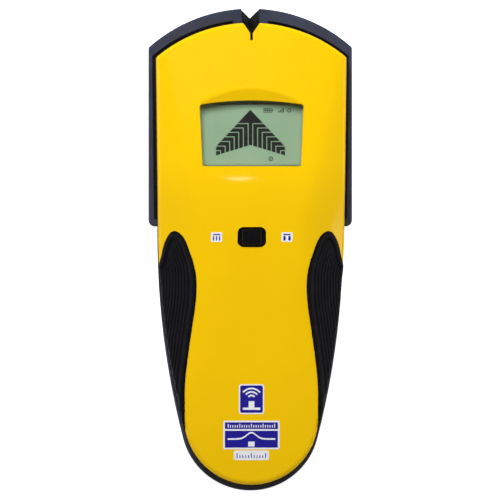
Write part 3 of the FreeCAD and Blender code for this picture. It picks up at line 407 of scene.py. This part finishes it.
def printed_mesh(name, shapes, height, lift_mm, thick_mm, step_mm, down=False):
    """Thin printed shapes that follow a surface.

    shapes are (material index, layer, points in millimetres); height gives the surface's z at x, y in metres.
    Each shape is cut every step_mm, so that it bends with the surface, and closed below into a solid.
    """
    bm = bmesh.new()
    sign = -1 if down else 1
    for index, layer, points in shapes:
        part = bmesh.new()
        corners = [part.verts.new((x * MM, y * MM, 0)) for x, y in points]
        for triple in tessellate_polygon([[Vector((x, y, 0)) for x, y in points]]):
            part.faces.new([corners[i] for i in triple])
        xs, ys = [p[0] for p in points], [p[1] for p in points]
        for axis, low, high in ((0, min(xs), max(xs)), (1, min(ys), max(ys))):
            cuts = int((high - low) / step_mm)
            for i in range(1, cuts + 1):
                spot, normal = [0.0, 0.0, 0.0], [0.0, 0.0, 0.0]
                spot[axis], normal[axis] = (low + i * (high - low) / (cuts + 1)) * MM, 1.0
                bmesh.ops.bisect_plane(part, geom=part.verts[:] + part.edges[:] + part.faces[:],
                                       plane_co=spot, plane_no=normal)
        bmesh.ops.triangulate(part, faces=part.faces[:])
        part.normal_update()
        bmesh.ops.reverse_faces(part, faces=[f for f in part.faces if f.normal.z * sign < 0])
        top = (lift_mm + layer * thick_mm) * MM
        sheet = part.faces[:]
        rim = [e for e in part.edges if e.is_boundary]
        under = {}
        for v in part.verts[:]:
            x, y = v.co.x, v.co.y
            z = height(x, y)
            v.co.z = z + sign * top
            under[v] = part.verts.new((x, y, z + sign * (top - thick_mm * MM)))
        for f in sheet:
            part.faces.new([under[v] for v in reversed(f.verts)])
        for e in rim:
            face = next(f for f in e.link_faces if f in sheet)
            a, b = e.verts
            order = list(face.verts)
            if order[(order.index(a) + 1) % len(order)] is not b:
                a, b = b, a
            part.faces.new((b, a, under[a], under[b]))
        for f in part.faces:
            f.material_index = index
        mesh = bpy.data.meshes.new("part")
        part.to_mesh(mesh)
        part.free()
        bm.from_mesh(mesh)
        bpy.data.meshes.remove(mesh)
    mesh = bpy.data.meshes.new(name)
    bm.to_mesh(mesh)
    bm.free()
    return mesh


UNCUT = 50.0               # a step longer than any shape, for shapes on a flat face
INK = 0.02                 # thickness of a printed layer, millimetres


def box_points(x0, y0, x1, y1):
    return [(x0, y0), (x1, y0), (x1, y1), (x0, y1)]


def round_box(x0, y0, x1, y1, r, steps=5):
    points = []
    corners = ((x1 - r, y0 + r, -90), (x1 - r, y1 - r, 0), (x0 + r, y1 - r, 90), (x0 + r, y0 + r, 180))
    for cx, cy, start in corners:
        for i in range(steps + 1):
            a = math.radians(start + 90 * i / steps)
            points.append((cx + r * math.cos(a), cy + r * math.sin(a)))
    return points


def ring_part(cx, cy, r0, r1, start, end, steps=14):
    """A band of a ring between two angles in degrees."""
    angles = [math.radians(start + (end - start) * i / steps) for i in range(steps + 1)]
    outer = [(cx + r1 * math.cos(a), cy + r1 * math.sin(a)) for a in angles]
    inner = [(cx + r0 * math.cos(a), cy + r0 * math.sin(a)) for a in reversed(angles)]
    return outer + inner


# ---- display -----------------------------------------------------------------------------------------------
# The arrow gauge, in millimetres.
GAUGE_X = -0.35            # its middle
GAUGE_TOP = 48.0           # the arrow's point
GAUGE_SLOPE = 1.067        # fall of its upper edge per millimetre out
GAUGE_END = 11.85          # half its width
GAP = 0.3                  # clear line between two segments
GAP_X = (0.78, 2.45, 4.05, 5.6, 7.15, 8.7, 10.3)
GAP_Y = (43.2, 41.7, 40.2, 38.65, 37.05, 35.45, 33.9)
LCD_INK = 0.03             # thickness of a segment


def gauge_bottom(x):
    """Lower edge of the gauge, which falls away from the middle."""
    return 35.85 - 0.305 * x


def gauge_outer(y):
    """Half width of the arrow at a height."""
    return min(GAUGE_END, (GAUGE_TOP - y) / GAUGE_SLOPE)


def gauge_segments():
    """The arrow gauge: a centre pointer and nested angle segments that step outwards on both sides."""
    top, stem = GAP_Y[0] + GAP / 2, GAP_X[0] - GAP / 2
    wide = gauge_outer(top)
    half = [(0, GAUGE_TOP), (wide, top), (stem, top), (stem, gauge_bottom(stem)), (0, gauge_bottom(0))]
    shapes = [[(-x, y) for x, y in half] + [(x, y) for x, y in reversed(half[1:-1])]]
    for k in range(1, len(GAP_X) + 1):
        inner, upper = GAP_X[k - 1] + GAP / 2, GAP_Y[k - 1] - GAP / 2
        if k < len(GAP_X):
            outer, lower = GAP_X[k] - GAP / 2, GAP_Y[k] + GAP / 2
            points = [(inner, upper), (gauge_outer(upper), upper)]
            corner_y = GAUGE_TOP - GAUGE_END * GAUGE_SLOPE
            if lower < corner_y < upper:
                points.append((GAUGE_END, corner_y))
            points += [(gauge_outer(lower), lower), (outer, lower), (outer, gauge_bottom(outer)),
                       (inner, gauge_bottom(inner))]
        else:
            points = [(inner, upper), (GAUGE_END, upper), (GAUGE_END, gauge_bottom(GAUGE_END)),
                      (inner, gauge_bottom(inner))]
        shapes.append(points)
        shapes.append([(-x, y) for x, y in points])
    return [[(x + GAUGE_X, y) for x, y in points] for points in shapes]


def display_icons():
    """Small generic marks: a battery gauge with its cells at the upper right, and a target ring below."""
    x, y = 4.2, 47.0
    icons = [box_points(x, y, x + 2.9, y + 0.2), box_points(x, y + 1.3, x + 2.9, y + 1.5),
             box_points(x, y + 0.2, x + 0.2, y + 1.3), box_points(x + 2.7, y + 0.2, x + 2.9, y + 1.3),
             box_points(x + 2.95, y + 0.45, x + 3.25, y + 1.05)]
    icons += [box_points(x + 0.4 + 0.75 * i, y + 0.4, x + 0.95 + 0.75 * i, y + 1.1) for i in range(3)]
    for i, tall in enumerate((0.6, 1.05, 1.5)):
        icons.append(box_points(9.2 + 0.75 * i, y, 9.65 + 0.75 * i, y + tall))
    icons.append(ring_part(13.0, y + 0.75, 0.45, 0.7, 0, 359.9, 20))
    icons.append(ring_part(6.6, 31.1, 0.55, 0.8, 0, 359.9, 24))
    icons.append(box_points(6.45, 30.75, 6.75, 31.45))
    return icons


def build_display():
    face = plane_under("lcd_polariser")
    shapes = [(0, 1, points) for points in gauge_segments() + display_icons()]
    mesh = printed_mesh("lcd_segments", shapes, face, lift_mm=0.0, thick_mm=LCD_INK, step_mm=UNCUT)
    new_piece("lcd_segments", mesh, [LCD_DARK], "case", "lcd_film")


# ---- printed marks on the front shell ----------------------------------------------------------------------
WHITE, BLUE = 0, 1         # inks, by their place in the material list


def shell_height():
    """Height function of the front shell's outer face."""
    tree = surface_tree("front_shell")
    above = 80 * MM

    def height(x, y):
        hit = tree.ray_cast(Vector((x, y, above)), Vector((0, 0, -1)))
        return hit[0].z
    return height


def wall_symbol(cx, cy, bar_w, bars):
    """White square with a blue wall symbol: a skin line above upright studs."""
    shapes = [(WHITE, 1, round_box(cx - 1.9, cy - 1.65, cx + 1.9, cy + 1.65, 0.2, 3)),
              (BLUE, 2, box_points(cx - 1.25, cy + 0.65, cx + 1.25, cy + 1.1))]
    for i in range(bars):
        x = cx - 1.25 + bar_w / 2 + (2.5 - bar_w) * i / (bars - 1)
        shapes.append((BLUE, 2, box_points(x - bar_w / 2, cy - 1.15, x + bar_w / 2, cy + 0.35)))
    return shapes


def stud_badge():
    """Upper mark: a blue tile with a white stud between two wall skins and sensing arcs above."""
    cx, cy = 0.0, -51.4
    shapes = [(WHITE, 1, round_box(cx - 4.35, cy - 5.15, cx + 4.35, cy + 5.15, 0.9)),
              (BLUE, 2, round_box(cx - 3.9, cy - 4.7, cx + 3.9, cy + 4.7, 0.6)),
              (WHITE, 3, box_points(cx - 3.0, cy - 3.7, cx + 3.0, cy - 2.9)),
              (WHITE, 3, box_points(cx - 1.0, cy - 2.9, cx + 1.0, cy - 0.7))]
    for radius in (1.1, 2.3, 3.5):
        shapes.append((WHITE, 3, ring_part(cx, cy - 0.1, radius, radius + 0.55, 40, 140)))
    return shapes


def lower_badge():
    """Lower mark: a ticked strip, a sensing curve that peaks over one stud, and a small pale scale."""
    left, right = -9.7, 9.7
    shapes = [(WHITE, 1, round_box(left, -68.7, right, -58.8, 0.6)),
              (BLUE, 2, box_points(left + 0.6, -61.7, right - 0.6, -59.4)),
              (BLUE, 2, box_points(left + 0.6, -68.1, right - 0.6, -62.3)),
              (WHITE, 3, box_points(-1.1, -67.7, 1.1, -66.0))]
    shapes += [(WHITE, 3, box_points(x - 0.15, -61.2, x + 0.15, -60.3 if i % 5 else -59.9))
               for i, x in enumerate(np.linspace(-8.0, 8.0, 21))]
    xs = np.linspace(-8.2, 8.2, 42)
    curve = [(x, -65.4 + 2.2 * math.exp(-(x / 2.3) ** 2)) for x in xs]
    shapes += [(WHITE, 3, [a, b, (b[0], b[1] + 0.55), (a[0], a[1] + 0.55)]) for a, b in zip(curve, curve[1:])]
    shapes.append((WHITE, 1, round_box(-6.05, -72.4, 6.05, -69.1, 0.5)))
    for i in range(11):
        x = -4.9 + 0.98 * i
        shapes.append((BLUE, 2, box_points(x - 0.16, -71.7, x + 0.16, -70.0 if i % 5 == 0 else -70.7)))
    return shapes


def build_marks():
    height = shell_height()
    for name, shapes in (("mark_shallow", wall_symbol(-12.1, 4.3, 0.45, 3)),
                         ("mark_deep", wall_symbol(12.1, 4.3, 0.8, 2)),
                         ("mark_badge_upper", stud_badge()), ("mark_badge_lower", lower_badge())):
        mesh = printed_mesh(name, shapes, height, lift_mm=0.035, thick_mm=INK, step_mm=0.9)
        new_piece(name, mesh, [INK_WHITE, INK_BLUE], "case", "label")


def build_label_print():
    """Print on the rear label: frame lines, a wall diagram and blank fields."""
    face_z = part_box("rear_label")[0].z
    dark, blue = 0, 1
    shapes = []
    for y in (26.0, 44.0):
        shapes.append((dark, 1, box_points(-19.5, y - 0.15, 19.5, y + 0.15)))
    for x in (-19.5, 19.5):
        shapes.append((dark, 1, box_points(x - 0.15, 26.15, x + 0.15, 43.85)))
    for i in range(4):
        x = -16.0 + 4.2 * i
        shapes.append((dark, 1, box_points(x, 30.0, x + 1.5, 39.0)))
    shapes.append((blue, 1, box_points(-17.0, 39.4, -0.9, 40.6)))
    for i, length in enumerate((14.0, 14.0, 11.0, 14.0, 7.5)):
        y = 39.6 - 2.5 * i
        shapes.append((dark, 1, box_points(3.5, y, 3.5 + length, y + 0.7)))
    mesh = printed_mesh("label_print", shapes, lambda x, y: face_z, lift_mm=0.0, thick_mm=INK, step_mm=UNCUT,
                        down=True)
    new_piece("label_print", mesh, [INK_DARK, INK_BLUE], "case", "label")


# ---- grips -------------------------------------------------------------------------------------------------
GRIP_CELL = 0.3 * MM       # mesh cell of the detailed grip
SNAP = 0.6 * GRIP_CELL     # a point nearer than this to the CAD surface is laid on it
COVER_REACH = 6 * MM       # a point with the shell or case this near in front of it is not an outer one
FOOT_BAND = 0.7 * MM       # border points lower than this belong to the lower edge, not the seam
UNDERSIDE = -0.5           # a face whose normal's z is below this is the grip's underside
LANE_REACH = 27.3 * MM     # the seam's inner run, which the ribs follow, lies closer than this to the middle

# The rest are in millimetres.
GROOVE_DEPTH, GROOVE_WIDTH = 0.42, 0.75    # the dark seam beside the yellow shell
RIM_END, RIM_FALL = 1.75, 0.45             # where the smooth raised rim stops, and how wide its slope is
FIELD_DEPTH = 0.34                         # how far the ribbed field is sunk inside the rim
RIB_PERIOD, RIB_DEPTH, RIB_START = 1.2, 0.22, 0.3
FOOT_DEPTH, FOOT_WIDTH = 0.2, 0.5          # the step along the lower edge
FOOT_RIM = 0.4                             # the rim is this much narrower there
STAND_OFF = 0.05                           # rays that look for a cover start this far off the surface


def smooth(t):
    t = np.clip(t, 0, 1)
    return t * t * (3 - 2 * t)


def grip_profile(seam, lane, foot):
    """Depth in millimetres below the CAD surface.

    seam, lane and foot are the distances to the seam, to its inner run and to the lower edge.
    """
    depth = GROOVE_DEPTH * (1 - smooth(seam / GROOVE_WIDTH))
    inside = smooth((np.minimum(seam, foot + FOOT_RIM) - RIM_END) / RIM_FALL)
    ribs = RIB_DEPTH * (0.5 - 0.5 * np.cos(2 * np.pi * (lane - RIM_END - RIB_START) / RIB_PERIOD))
    return depth + inside * (FIELD_DEPTH + ribs) + FOOT_DEPTH * (1 - smooth(foot / FOOT_WIDTH))


def build_grip(node, name):
    """A grip remeshed in fine cells, whose outer face gets the seam's groove, a rim, a field and ribs."""
    source = NODES[node].data
    rough = bpy.data.objects.new("grip_cells", source.copy())
    scene.collection.objects.link(rough)
    cells = rough.modifiers.new("cells", "REMESH")
    cells.mode, cells.voxel_size = "VOXEL", GRIP_CELL
    graph = bpy.context.evaluated_depsgraph_get()
    mesh = bpy.data.meshes.new_from_object(rough.evaluated_get(graph))
    bpy.data.objects.remove(rough)
    mesh.name = name

    count = len(mesh.vertices)
    place = np.zeros(count * 3)
    mesh.vertices.foreach_get("co", place)
    place = place.reshape(-1, 3)
    own, shell, case = surface_tree(node), surface_tree("front_shell"), surface_tree("rear_case")
    normals = np.zeros((count, 3))
    outer = np.zeros(count, bool)
    for i in range(count):
        spot, normal, _, gap = own.find_nearest(Vector(place[i]))
        if gap < SNAP:
            place[i] = spot
        normals[i] = normal
        start = spot + normal * STAND_OFF * MM
        outer[i] = (shell.ray_cast(start, normal, COVER_REACH)[0] is None
                    and case.ray_cast(start, normal, COVER_REACH)[0] is None and normal.z > UNDERSIDE)

    def distance_to(chosen):
        tree = KDTree(len(chosen))
        for i in chosen:
            tree.insert(place[i], i)
        tree.balance()
        return np.array([tree.find(p)[2] for p in place]) / MM

    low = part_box(node)[0].z
    ends = np.zeros(len(mesh.edges) * 2, int)
    mesh.edges.foreach_get("vertices", ends)
    border = {int(i) for pair in ends.reshape(-1, 2) if outer[pair[0]] != outer[pair[1]]
              for i in pair if not outer[i]}
    seam_points = [i for i in border if place[i][2] > low + FOOT_BAND]
    lane_points = [i for i in seam_points if abs(place[i][0]) < LANE_REACH]
    foot_points = [i for i in border if place[i][2] <= low + FOOT_BAND]
    profile = grip_profile(*[distance_to(chosen) for chosen in (seam_points, lane_points, foot_points)])
    depth = np.where(outer, profile, 0.0)
    place -= normals * (depth * MM)[:, None]
    mesh.vertices.foreach_set("co", place.ravel())
    mesh.update()
    for polygon in mesh.polygons:
        polygon.use_smooth = True
    return new_piece(name, mesh, [FINISHES["grip_rubber"]], "case", "grip_rubber", node)


# ---- foam pad over the battery -----------------------------------------------------------------------------
PAD_CROWN, PAD_DRAW = 0.12, 0.02    # sink of its faces at the rim and of its long sides, as shares


def build_pad():
    """Foam pad with crowned faces and drawn-in sides, in the box of the CAD pad."""
    low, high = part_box("battery_pad")
    bm = bmesh.new()
    bmesh.ops.create_grid(bm, x_segments=20, y_segments=34, size=0.5)
    top = bm.faces[:]
    made = bmesh.ops.extrude_face_region(bm, geom=top)
    verts = {v for v in made["geom"] if isinstance(v, bmesh.types.BMVert)}
    middle, half = (low + high) / 2, (high - low) / 2
    for v in bm.verts:
        u, w = v.co.x * 2, v.co.y * 2
        edge = max(abs(u), abs(w))
        sag = PAD_CROWN * edge ** 6
        side = 1 if v in verts else -1
        v.co = Vector((middle.x + u * half.x * (1 - PAD_DRAW * (1 - w * w)), middle.y + w * half.y,
                       middle.z + side * half.z * (1 - sag)))
    bmesh.ops.recalc_face_normals(bm, faces=bm.faces[:])
    mesh = bpy.data.meshes.new("foam_pad")
    bm.to_mesh(mesh)
    bm.free()
    piece = new_piece("foam_pad", mesh, [FINISHES["foam"]], "case", "foam", "battery_pad")


build_display()
build_marks()
build_label_print()
for side in ("left", "right"):
    build_grip(side + "_grip", side + "_grip_ribbed")
build_pad()
NODES["display_window"].visible_shadow = False


# ---- stage, light and camera -------------------------------------------------------------------------------
FLOOR_HALF, FLOOR_DROP = 3.0, 0.2 * MM      # half the floor's side, and its clearance below the object
FLOOR_GLOW, SKY_GLOW = 0.88, 0.11


def softbox(name, location, target, size, watts, diffuse=True, glossy=True):
    """A rectangular lamp aimed at target, or straight down without one.

    diffuse=False makes a lamp that only reflections show, glossy=False one that none shows.
    """
    light = bpy.data.lights.new(name, "AREA")
    light.shape, light.size, light.size_y = "RECTANGLE", *size
    light.energy = watts
    lamp = bpy.data.objects.new(name, light)
    scene.collection.objects.link(lamp)
    lamp.location = location
    if target:
        lamp.rotation_euler = (Vector(target) - Vector(location)).to_track_quat("-Z", "Y").to_euler()
    lamp.visible_diffuse = diffuse
    lamp.visible_glossy = glossy
    lamp.visible_transmission = diffuse and glossy


def build_stage():
    mesh = bpy.data.meshes.new("floor")
    s, z = FLOOR_HALF, CAD_BOX[0].z - FLOOR_DROP
    mesh.from_pydata([(-s, -s, z), (s, -s, z), (s, s, z), (-s, s, z)], [], [(0, 1, 2, 3)])
    floor = bpy.data.objects.new("floor", mesh)
    scene.collection.objects.link(floor)
    f = Finish("paper_white", Roughness=0.9)
    f.colour(f.noise(40.0, 3), (0.93, 0.93, 0.93, 1), (0.96, 0.96, 0.96, 1))
    f.shader.inputs["Emission Color"].default_value = (1, 1, 1, 1)
    f.shader.inputs["Emission Strength"].default_value = FLOOR_GLOW
    mesh.materials.append(f.material)
    floor.visible_glossy = False

    world = bpy.data.worlds.new("studio")
    scene.world = world
    world.use_nodes = True
    back = world.node_tree.nodes["Background"]
    back.inputs["Color"].default_value = (1, 1, 1, 1)
    back.inputs["Strength"].default_value = SKY_GLOW

    centre = (0, 0, 20 * MM)
    softbox("key", (-0.1, 0.45, 0.75), centre, (0.5, 0.4), 7.7, glossy=False)
    softbox("fill_left", (-0.9, -0.1, 0.5), centre, (0.5, 0.5), 0.7, glossy=False)
    softbox("fill_right", (0.9, -0.1, 0.5), centre, (0.5, 0.5), 1.1, glossy=False)
    softbox("strip_left", (-0.9, 0.05, 0.205), centre, (0.8, 0.31), 1.2, diffuse=False)
    softbox("strip_right", (0.9, 0.05, 0.205), centre, (0.8, 0.31), 1.2, diffuse=False)
    softbox("catch", (-0.012, 0.15, 2.0), None, (0.09, 0.045), 0.09)


def build_camera():
    """A long lens far off: the photograph's view straight down, with next to no perspective."""
    camera = bpy.data.objects.new("camera", bpy.data.cameras.new("camera"))
    scene.collection.objects.link(camera)
    camera.data.lens, camera.data.sensor_width = 1500, 36
    camera.data.clip_start, camera.data.clip_end = 0.1, 20
    distance, lean = 7.183, math.radians(1.2)
    target = Vector((-0.07 * MM, -0.14 * MM, 8 * MM))
    camera.location = target + Vector((-math.sin(lean), 0, math.cos(lean))) * distance
    camera.rotation_euler = (0, -lean, 0)
    scene.camera = camera


build_stage()
build_camera()
scene.view_settings.view_transform = "Standard"
